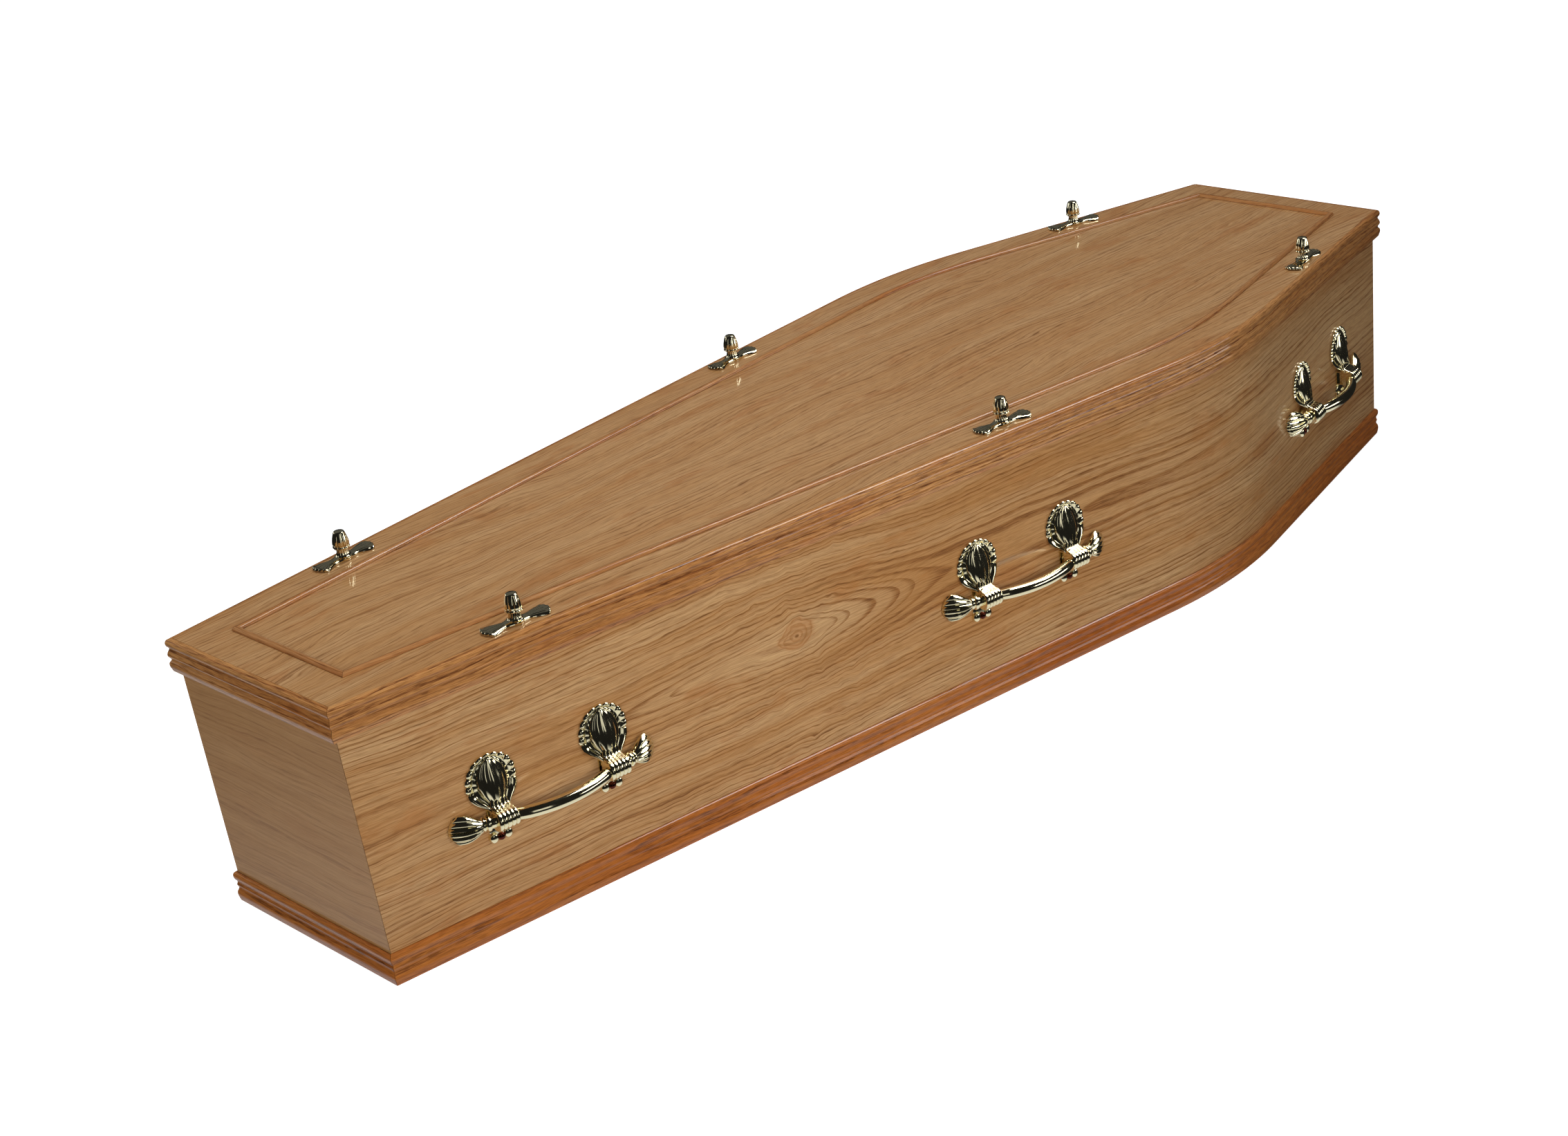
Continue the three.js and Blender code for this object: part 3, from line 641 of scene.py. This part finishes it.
BEAD_WIDTH = 0.009
BEAD_HEIGHT = 0.005
BEAD_FROM_SIDE = 0.060
BEAD_FROM_FOOT = 0.060
BEAD_FROM_HEAD = 0.052
BEAD_PALE = (0.50, 0.255, 0.095, 1)
BEAD_WARM = (0.43, 0.185, 0.058, 1)
bead_colours = (BEAD_PALE, BEAD_WARM, MOULDING_RING, MOULDING_PORE, MOULDING_STAIN)
bead_oak = lacquered_oak("bead_oak", "grain", bead_colours, ring_width=0.006, wave=0.03, heart=0.03,
                         depth=0.03, gloss=0.05)
bead_curve = smooth_line([(0.0, GAP), (0.0001, 0.0016), (0.0015, 0.004), (0.0045, BEAD_HEIGHT),
                          (0.0075, 0.004), (0.0089, 0.0016), (BEAD_WIDTH, GAP)], 4)
bead_section = [(min(max(depth, 0), BEAD_WIDTH), HEIGHT + min(up, BEAD_HEIGHT)) for depth, up in bead_curve]


def on_lid(depth, z):
    return BEAD_FROM_SIDE + depth, BEAD_FROM_FOOT + depth, BEAD_FROM_HEAD + depth


four_strips("lid_bead", bead_section, on_lid, bead_oak, "oak_moulding")


# The handle bars
# Each is one casting: a round bar bowed out from the board, a turned ring past each bracket, and a
# fluted fan at each end that curves back to the board. Polished and plated pale gold.

HANDLE_HEIGHT = 0.155
HANDLE_X = {"foot": -0.729, "middle": 0.013, "head": 0.742}
BRACKET_SPACING = 0.156
COLLAR_WIDTH = 0.028
BAR_RADIUS = 0.0078
BAR_WAIST = 0.0072
BAR_STANDOFF = 0.0245
BAR_BOW = 0.0153
BAR_LEVELLING = 0.2
FAN_TIP = 0.1415
FAN_STANDOFF = 0.0022
FAN_REACH = 0.0092
FAN_START = 0.106
FAN_LENGTH = 0.0285
FAN_RIBS = 6
BRASS_TINT = (0.86, 0.79, 0.53, 1)

half_spacing = BRACKET_SPACING / 2
bow_end = half_spacing - COLLAR_WIDTH / 2
bow_radius = (bow_end ** 2 + BAR_BOW ** 2) / (2 * BAR_BOW)


def bar_line(s):
    """How far the bar's middle stands off the board, at a place along it."""
    along = abs(s)
    if along <= bow_end:
        return BAR_STANDOFF + BAR_BOW - bow_radius + sqrt(bow_radius ** 2 - along ** 2)
    run = FAN_TIP - bow_end
    t = (along - bow_end) / run
    drop = -BAR_LEVELLING * run
    return BAR_STANDOFF + drop * t + (FAN_STANDOFF - BAR_STANDOFF - drop) * t * t


def even_slope(before, after):
    return 0 if before * after <= 0 else 2 * before * after / (before + after)


def at(table, x):
    """The value at x on a smooth curve through a table of (x, value), with no overshoot."""
    if x <= table[0][0]:
        return table[0][1]
    if x >= table[-1][0]:
        return table[-1][1]
    i = max(k for k in range(len(table) - 1) if table[k][0] <= x)
    slopes = [(y1 - y0) / (x1 - x0) for (x0, y0), (x1, y1) in zip(table, table[1:])]
    leaving = even_slope(slopes[max(i - 1, 0)], slopes[i])
    arriving = even_slope(slopes[i], slopes[min(i + 1, len(slopes) - 1)])
    run = table[i + 1][0] - table[i][0]
    t = (x - table[i][0]) / run
    rise = t * t * (3 - 2 * t)
    bend = run * (leaving * t * (1 - t) ** 2 - arriving * t * t * (1 - t))
    return table[i][1] + (table[i + 1][1] - table[i][1]) * rise + bend


def rib(place, ribs, fullness=0.5):
    """Convex ribs with grooves between them, over places from -1 to 1: 0 on a rib, -1 in a groove."""
    wave = cos(pi * place * ribs / 2) if ribs % 2 else sin(pi * place * ribs / 2)
    return abs(wave) ** fullness - 1


def loft_into(work, rings):
    """Adds a closed body through rings of as many points each."""
    size = len(rings[0])
    grid = [[work.verts.new(p) for p in ring] for ring in rings]
    faces = []
    for lower, upper in zip(grid, grid[1:]):
        for i in range(size):
            j = (i + 1) % size
            faces.append(work.faces.new((lower[i], lower[j], upper[j], upper[i])))
    faces.append(work.faces.new(tuple(reversed(grid[0]))))
    faces.append(work.faces.new(tuple(grid[-1])))
    bmesh.ops.recalc_face_normals(work, faces=faces)


def finish_casting(work, name, sharp_angle=38):
    mesh = bpy.data.meshes.new(name)
    work.to_mesh(mesh)
    work.free()
    mesh.shade_smooth()
    mesh.set_sharp_from_angle(angle=radians(sharp_angle))
    return mesh


def polished_brass():
    material = bpy.data.materials.new("polished_brass")
    material.use_nodes = True
    w = Wiring(material.node_tree)
    shader = material.node_tree.nodes["Principled BSDF"]
    shader.inputs["Metallic"].default_value = 1
    shader.inputs["Base Color"].default_value = BRASS_TINT
    source = material.node_tree.nodes.new("ShaderNodeTexCoord")
    haze = w.noise(source.outputs["Object"], 60, 3, 0.6)
    w.put(shader.inputs["Roughness"], w.between(haze, 0.3, 0.7, 0.06, 0.12))
    return material


brass = polished_brass()

bar_radii = [(0, BAR_RADIUS), (bow_end * 0.8, BAR_RADIUS), (bow_end, BAR_WAIST), (0.0950, 0.0076), (0.0958, 0.0078),
             (0.0964, 0.0092), (0.0978, 0.0098), (0.0996, 0.0098), (0.1010, 0.0090), (0.1016, 0.0076),
             (0.1022, 0.0075), (0.1028, 0.0084), (0.1042, 0.0087), (0.1054, 0.0082), (FAN_START, 0.0076)]
fan_half = [(0, 0.0078), (0.12, 0.0098), (0.28, 0.0132), (0.44, 0.0160), (0.6, 0.0180), (0.75, 0.0190),
            (0.88, 0.0192), (0.96, 0.0184), (1, 0.0166)]
fan_thickness = [(0, 0.0076), (0.15, 0.0092), (0.35, 0.0110), (0.55, 0.0112), (0.72, 0.0098),
                 (0.85, 0.0076), (0.92, 0.0062), (0.97, 0.0044), (1, 0.0014)]


def bar_section(s, end):
    """The bar's section at a place along it, round on the bar and fluted on the fan."""
    along = abs(s)
    slope = (bar_line(along + 0.0005) - bar_line(along - 0.0005)) / 0.001
    run = hypot(1, slope)
    ring = []
    count = 112
    for i in range(count):
        v = (i % (count // 2)) / (count // 2) * 2 - 1
        front = 1 if i < count // 2 else -1
        u = (0.55 * sin(pi / 2 * v) + 0.45 * v) * front
        out = front * sqrt(max(0, 1 - u * u))
        if along <= FAN_START:
            radius = at(bar_radii, along)
            place = (along - out * radius * slope / run, bar_line(along) + out * radius / run, u * radius)
        else:
            spread = (along - FAN_START) / FAN_LENGTH
            half = at(fan_half, spread)
            thick = at(fan_thickness, spread)
            flute = 0.0030 * rib(u, FAN_RIBS, 1.1) * min(1, 0.2 + spread * 1.6)
            lobe = rib(u, FAN_RIBS) * 0.0020 * spread ** 3
            reach = FAN_REACH * spread ** 1.6 * (1 - u * u) + lobe
            centre = bar_line(along + reach * 0.9)
            edge = out * thick + flute * out if front > 0 else out * thick * 0.6
            place = (along + reach, max(0.0004, centre + edge), u * half)
        ring.append((place[0] * end, place[1], place[2]))
    return ring


def build_bar():
    stations = [bow_end * k / 22 for k in range(1, 23)]
    stations += [0.068, 0.085] + [along for along, _ in bar_radii[3:]]
    stations += [(a + b) / 2 for (a, _), (b, _) in zip(bar_radii[4:], bar_radii[5:])]
    stations.sort()
    spreads = [0.88 * k / 22 for k in range(1, 23)] + [0.9, 0.92, 0.94, 0.96, 0.98, 0.99, 1]
    stations += [FAN_START + FAN_LENGTH * spread for spread in spreads]
    work = bmesh.new()
    rings = [bar_section(s, -1) for s in reversed(stations)] + [bar_section(0, 1)]
    rings += [bar_section(s, 1) for s in stations]
    loft_into(work, rings)
    return finish_casting(work, "handle_bar", 30)


def on_side_board(side, x):
    """Where a fitting stands on a side board: +X along the board, +Y out from it."""
    on_foot_length = x < SHOULDER_X
    y = foot_line(x, BOX_INSET) if on_foot_length else head_line(x, BOX_INSET)
    taper = foot_taper if on_foot_length else -head_taper
    turn = taper if side > 0 else pi - taper
    return Matrix.Translation((x, side * y, HANDLE_HEIGHT)) @ Matrix.Rotation(turn, 4, "Z")


sides = {"left": -1, "right": 1}
bar_mesh = build_bar()
for side_name, side in sides.items():
    for place_name, x in HANDLE_X.items():
        name = f"handle_bar_{side_name}_{place_name}"
        add_piece(f"{name}_piece", bar_mesh, brass, "brass", name, place=on_side_board(side, x))


# The shell brackets
# Each is one casting: a scallop shell, domed and ribbed, with a beaded rim; a ribbed collar round
# the bar; an arm back to the board, open at its sides; and two small lobes at the foot.

SHELL_RADIUS = 0.0345
SHELL_CENTRE = 0.0435
SHELL_SPREAD = radians(104)
SHELL_LOBES = 11
DOME_RIBS = 5
COLLAR_RADIUS = 0.0126
COLLAR_RIBS = 5
ARM_HALF = 0.0104

collar_out = bar_line(half_spacing)
dome_half = [(0.003, 0.0112), (0.012, 0.0112), (0.018, 0.0116), (0.022, 0.0132), (0.026, 0.0156), (0.032, 0.0184),
             (0.042, 0.0205), (0.050, 0.0200), (0.056, 0.0182), (0.061, 0.0158), (0.065, 0.0128), (0.068, 0.0098),
             (0.070, 0.0068), (0.0712, 0.0040), (0.0718, 0.0010)]
dome_front = [(0.003, 0.0240), (0.009, 0.0200), (0.012, 0.0170), (0.0155, 0.0150), (0.019, 0.0147),
              (0.024, 0.0150), (0.030, 0.0149), (0.036, 0.0143), (0.042, 0.0132), (0.048, 0.0118), (0.054, 0.0101),
              (0.060, 0.0084), (0.065, 0.0070), (0.069, 0.0056), (0.071, 0.0047), (0.0718, 0.0040)]
dome_edge = [(0.003, 0.0200), (0.009, 0.0165), (0.012, 0.0140), (0.016, 0.0112), (0.020, 0.0090), (0.026, 0.0064),
             (0.032, 0.0046), (0.038, 0.0038), (0.0718, 0.0032)]


dome_groove = [(0.003, 0.0009), (0.018, 0.0010), (0.030, 0.0012), (0.045, 0.0013), (0.055, 0.0011),
               (0.062, 0.0008), (0.068, 0.0004), (0.072, 0.0001)]


def dome_section(z):
    half = at(dome_half, z)
    front = at(dome_front, z)
    edge = at(dome_edge, z)
    depth = at(dome_groove, z)
    ring = []
    columns = 84
    for i in range(columns + 1):
        v = 2 * i / columns - 1
        u = 0.4 * sin(pi / 2 * v) + 0.6 * v
        swell = sqrt(max(0, 1 - u * u)) ** 0.9
        ring.append((u * half, edge + (front - edge) * swell + depth * rib(v, DOME_RIBS, 1.5), z))
    for u in (0.9, 0.3, -0.3, -0.9):
        ring.append((u * half, max(0.0006, edge - 0.003), z))
    return ring


def dome_outline(angle):
    """How far the dome's edge is from the shell's middle, in a direction from straight up."""
    low, high = 0.002, 0.045
    for _ in range(30):
        middle = (low + high) / 2
        z = 0.040 + middle * cos(angle)
        inside = z < 0.0718 and abs(middle * sin(angle)) < at(dome_half, z)
        if inside:
            low = middle
        else:
            high = middle
    return low


def rim_points():
    """The shell's outline from one side of the neck over the top to the other, with its place in a lobe."""
    points = []
    neck = smooth_line([(0.0125, 0.009), (0.0138, 0.0125), (0.0185, 0.0165), (0.0255, 0.0215), (0.0312, 0.0285),
                        (sin(SHELL_SPREAD) * 0.0337, SHELL_CENTRE + cos(SHELL_SPREAD) * 0.0337)], 6)
    for x, z in neck[:-1]:
        points.append((x, z, 0.7, 0.8))
    steps = SHELL_LOBES * 14
    for i in range(steps + 1):
        share = i / steps
        angle = SHELL_SPREAD * (1 - 2 * share)
        lobe = abs(sin(pi * share * SHELL_LOBES))
        radius = SHELL_RADIUS - 0.0024 * (1 - lobe ** 0.6)
        points.append((sin(angle) * radius, SHELL_CENTRE + cos(angle) * radius, lobe, 1.0))
    for x, z in reversed(neck[:-1]):
        points.append((-x, z, 0.7, 0.8))
    return points


flange_lean = [(0.009, 0.0168), (0.0125, 0.0140), (0.016, 0.0112), (0.020, 0.0086), (0.026, 0.0056), (0.032, 0.0036),
               (0.038, 0.0026), (0.078, 0.0022)]
rim_profile = [(0.0, 0.0018), (0.12, 0.0011), (0.26, 0.0004), (0.36, 0.0002), (0.46, 0.0010), (0.58, 0.0020),
               (0.70, 0.0025), (0.80, 0.0024), (0.90, 0.0017), (0.96, 0.0009), (1.0, 0.0002)]


sleeve_half = [(0.0, 0.0138), (0.006, 0.0136), (0.012, 0.0128), (0.0185, 0.0120), (0.0225, 0.0112)]
sleeve_front = [(0.0, 0.0339), (0.0045, 0.0332), (0.0082, 0.0312), (0.0104, 0.0285), (0.0116, 0.0259),
                (0.0129, 0.0222), (0.0142, 0.0185), (0.0153, 0.0157), (0.0165, 0.0148), (0.0190, 0.0145),
                (0.0225, 0.0143)]


def sleeve_section(z):
    """The ribbed sleeve that carries the collar's ribs up on to the neck."""
    half = at(sleeve_half, z)
    front = at(sleeve_front, z)
    depth = at([(0.008, 0.0013), (0.012, 0.0005), (0.0225, 0.0004)], z)
    ring = []
    columns = 60
    for i in range(columns + 1):
        u = 2 * i / columns - 1
        round_over = 0.0022 * (1 - sqrt(max(0, 1 - abs(u) ** 8)))
        ring.append((u * half, front + depth * rib(u, COLLAR_RIBS) - round_over, z))
    for u in (0.97, -0.97):
        ring.append((u * half, 0.0100, z))
    return ring


def build_bracket():
    work = bmesh.new()
    loft_into(work, [sleeve_section(z) for z, _ in smooth_line(sleeve_front, 3)])
    heights = [0.003, 0.006, 0.009, 0.0105, 0.012, 0.0135, 0.015, 0.0165, 0.018, 0.020]
    heights += [0.020 + 0.044 * k / 18 for k in range(1, 19)]
    heights += [0.0655, 0.067, 0.0683, 0.0693, 0.0701, 0.0707, 0.0712, 0.0716, 0.0718]
    loft_into(work, [dome_section(z) for z in heights])

    rings = []
    for x, z, lobe, beading in rim_points():
        angle = atan2(x, z - 0.040)
        inner = dome_outline(angle) - 0.0012
        inner_x = inner * sin(angle)
        inner_z = 0.040 + inner * cos(angle)
        lean = at(flange_lean, z)
        ring = []
        for k in range(17):
            share = k / 16
            place_x = inner_x + (x - inner_x) * share
            place_z = inner_z + (z - inner_z) * share
            base = at(flange_lean, place_z)
            pillow = 1 - min(1, share / 0.4) * (1 - lobe ** 0.6) * 0.85
            raise_by = at(rim_profile, share) * (beading if share > 0.3 else 1)
            ring.append((place_x, base + raise_by * pillow, place_z))
        ring.append((x * 0.97, max(0.0004, lean - 0.0014), z))
        ring.append((inner_x, max(0.0004, at(flange_lean, inner_z) - 0.0014), inner_z))
        rings.append(ring)
    loft_into(work, rings)

    collar = []
    steps = COLLAR_RIBS * 10
    for i in range(steps + 1):
        share = i / steps
        s = COLLAR_WIDTH * (share - 0.5)
        round_over = 0.0012 * (1 - sqrt(max(0, 1 - abs(2 * share - 1) ** 12)))
        radius = COLLAR_RADIUS + 0.0013 * rib(2 * share - 1, COLLAR_RIBS) - round_over
        ring = []
        for k in range(56):
            around = 2 * pi * k / 56
            ring.append((s, collar_out + radius * cos(around), radius * sin(around)))
        collar.append(ring)
    loft_into(work, collar)

    wall = 0.0088
    arm = []
    for out, half, web in ((0.0003, 0.0125, 0.0125), (0.0024, 0.0125, 0.0125), (0.0024, 0.0125, 0.0060),
                           (0.0180, 0.0115, 0.0060)):
        ring = []
        for s, z in ((-half, -ARM_HALF), (half, -ARM_HALF), (half, -wall), (web, -wall), (web, wall), (half, wall),
                     (half, ARM_HALF), (-half, ARM_HALF), (-half, wall), (-web, wall), (-web, -wall), (-half, -wall)):
            ring.append((s, out, z))
        arm.append(ring)
    loft_into(work, arm)

    for middle_s, middle_z, half_s, half_z, lift in ((-0.0096, -0.0290, 0.0060, 0.0074, 0.0074),
                                                     (0.0096, -0.0290, 0.0060, 0.0074, 0.0074),
                                                     (0.0, -0.0215, 0.0135, 0.0125, 0.0040)):
        lobe = []
        for out, share in ((0.0003, 1), (0.3, 1), (0.62, 0.93), (0.84, 0.76), (0.96, 0.48), (1.0, 0.12)):
            height = out if out < 0.001 else out * lift
            ring = []
            for k in range(28):
                around = 2 * pi * k / 28
                ring.append((middle_s + half_s * share * cos(around), height, middle_z + half_z * share * sin(around)))
            lobe.append(ring)
        loft_into(work, lobe)
    return finish_casting(work, "handle_bracket", 42)


bracket_mesh = build_bracket()
for side_name, side in sides.items():
    for place_name, x in HANDLE_X.items():
        for end in (-1, 1):
            towards = "headward" if end * side > 0 else "footward"
            name = f"handle_bracket_{side_name}_{place_name}_{towards}"
            place = on_side_board(side, x) @ Matrix.Translation((end * half_spacing, 0, 0))
            add_piece(f"{name}_piece", bracket_mesh, brass, "brass", name, place=place)


# The screw heads
# A small domed screw in each bracket's foot, plated dark red-brown and polished.

SCREW_DROP = 0.030
SCREW_TINT = (0.10, 0.022, 0.012, 1)


def screw_metal():
    material = bpy.data.materials.new("screw_metal")
    material.use_nodes = True
    w = Wiring(material.node_tree)
    shader = material.node_tree.nodes["Principled BSDF"]
    source = material.node_tree.nodes.new("ShaderNodeTexCoord")
    shader.inputs["Metallic"].default_value = 1
    shader.inputs["Base Color"].default_value = SCREW_TINT
    haze = w.noise(source.outputs["Object"], 400, 2, 0.5)
    w.put(shader.inputs["Roughness"], w.between(haze, 0.3, 0.7, 0.08, 0.16))
    return material


def build_screw():
    work = bmesh.new()
    rings = []
    for out, radius in ((0.0028, 0.0040), (0.0038, 0.0046), (0.0048, 0.0045), (0.0058, 0.0038), (0.0065, 0.0026),
                        (0.0069, 0.0012), (0.0070, 0.0003)):
        ring = []
        for k in range(32):
            around = 2 * pi * k / 32
            ring.append((radius * cos(around), out, radius * sin(around)))
        rings.append(ring)
    loft_into(work, rings)
    return finish_casting(work, "handle_screw")


screw_mesh = build_screw()
dark_screw = screw_metal()
for side_name, side in sides.items():
    for place_name, x in HANDLE_X.items():
        for end in (-1, 1):
            towards = "headward" if end * side > 0 else "footward"
            name = f"handle_screw_{side_name}_{place_name}_{towards}"
            place = on_side_board(side, x) @ Matrix.Translation((end * half_spacing, 0.0008, -SCREW_DROP))
            add_piece(f"{name}_piece", screw_mesh, dark_screw, "screw", name, place=place)


# The wreath holders' plates
# Six small castings pinned along the lid's long edges. Each has two ribbed fan ends, a boss between
# them, and a fluted stem that holds the cap up.

HOLDER_X = {"foot": -0.728, "middle": 0.016, "head": 0.730}
HOLDER_INSET = 0.026
HOLDER_LENGTH = 0.092
HOLDER_NECK = 0.014
HOLDER_RIBS = 5
holder_half = [(0.006, 0.0095), (0.012, 0.0080), (0.016, 0.0074), (0.021, 0.0084), (0.027, 0.0108), (0.032, 0.0126),
               (0.036, 0.0136), (0.0385, 0.0138), (0.0400, 0.0130)]
holder_rise = [(0.006, 0.0052), (0.014, 0.0042), (0.022, 0.0044), (0.030, 0.0046), (0.0345, 0.0040), (0.0366, 0.0046),
               (0.0385, 0.0050), (0.0395, 0.0044), (0.0400, 0.0024)]


def holder_section(x, end):
    """A fan end's section: ribbed on top and flat below."""
    half = at(holder_half, x)
    rise = at(holder_rise, x)
    spread = max(0, (x - 0.014) / 0.026)
    ring = []
    columns = 60
    for i in range(columns + 1):
        v = 2 * i / columns - 1
        u = 0.4 * sin(pi / 2 * v) + 0.6 * v
        swell = (1 - min(1, abs(u)) ** 5) ** 0.5
        reach = 0.006 * spread ** 1.5 * (1 - u * u) + 0.0012 * spread ** 3 * rib(v, HOLDER_RIBS)
        ring.append((end * (x + reach), u * half, 0.0006 + (rise - 0.0006) * swell
                     + 0.0006 * min(1, spread * 3) * rib(v, HOLDER_RIBS, 1.2) * swell))
    for u in (0.96, -0.96):
        reach = 0.006 * spread ** 1.5 * (1 - u * u)
        ring.append((end * (x + reach), u * half, 0))
    return ring


def build_holder_plate():
    work = bmesh.new()
    stations = [0.006, 0.009, 0.012, 0.014, 0.016, 0.018]
    stations += [0.018 + 0.017 * k / 12 for k in range(1, 13)]
    stations += [0.0358, 0.0366, 0.0374, 0.0382, 0.0388, 0.0393, 0.0397, 0.0400]
    for end in (-1, 1):
        loft_into(work, [holder_section(x, end) for x in stations])
    rings = []
    for radius, z, fluting in ((0.0108, 0, 0), (0.0112, 0.0016, 0), (0.0112, 0.0036, 0), (0.0108, 0.0044, 0),
                               (0.0100, 0.0047, 0), (0.0094, 0.0048, 0.2), (0.0088, 0.0056, 1), (0.0080, 0.0072, 1),
                               (0.0074, 0.0095, 1), (0.0070, 0.0120, 1), (0.0068, HOLDER_NECK, 1)):
        ring = []
        for k in range(96):
            around = 2 * pi * k / 96
            r = radius + 0.0007 * fluting * (sqrt(abs(sin(6 * around))) - 1)
            ring.append((r * cos(around), r * sin(around), z))
        rings.append(ring)
    loft_into(work, rings)
    return finish_casting(work, "wreath_holder_plate", 40)


def on_lid_edge(side, x):
    on_foot_length = x < SHOULDER_X
    y = foot_line(x, HOLDER_INSET) if on_foot_length else head_line(x, HOLDER_INSET)
    taper = foot_taper if on_foot_length else -head_taper
    return Matrix.Translation((x, side * y, HEIGHT + GAP)) @ Matrix.Rotation(side * taper, 4, "Z")


plate_mesh = build_holder_plate()
for side_name, side in sides.items():
    for place_name, x in HOLDER_X.items():
        name = f"wreath_holder_plate_{side_name}_{place_name}"
        add_piece(f"{name}_piece", plate_mesh, brass, "brass", name, place=on_lid_edge(side, x))


# The wreath holders' caps
# A small barrel with eight long lobes, wide and scalloped at its foot and flat on top.

CAP_HEIGHT = 0.023
CAP_LOBES = 8
cap_radii = [(0.0, 0.0078), (0.0004, 0.0092), (0.0012, 0.0106), (0.0022, 0.0109), (0.0034, 0.0105), (0.0042, 0.0103),
             (0.0065, 0.0106), (0.0100, 0.0103), (0.0135, 0.0096), (0.0170, 0.0086), (0.0200, 0.0076), (0.0218, 0.0069),
             (0.0227, 0.0061), (CAP_HEIGHT, 0.0050)]


def build_cap():
    work = bmesh.new()
    rings = []
    for step in range(61):
        z = CAP_HEIGHT * step / 60
        depth = at([(0, 0.0012), (0.003, 0.0012), (0.006, 0.0014), (0.016, 0.0011), (0.021, 0.0003), (0.023, 0)], z)
        ring = []
        for k in range(96):
            around = 2 * pi * k / 96
            r = at(cap_radii, z) + depth * (sqrt(abs(cos(CAP_LOBES / 2 * around))) - 1)
            ring.append((r * cos(around), r * sin(around), z))
        rings.append(ring)
    loft_into(work, rings)
    return finish_casting(work, "wreath_holder_cap", 35)


cap_mesh = build_cap()
for side_name, side in sides.items():
    for place_name, x in HOLDER_X.items():
        name = f"wreath_holder_cap_{side_name}_{place_name}"
        place = on_lid_edge(side, x) @ Matrix.Translation((0, 0, HOLDER_NECK + GAP))
        add_piece(f"{name}_piece", cap_mesh, brass, "brass", name, place=place)
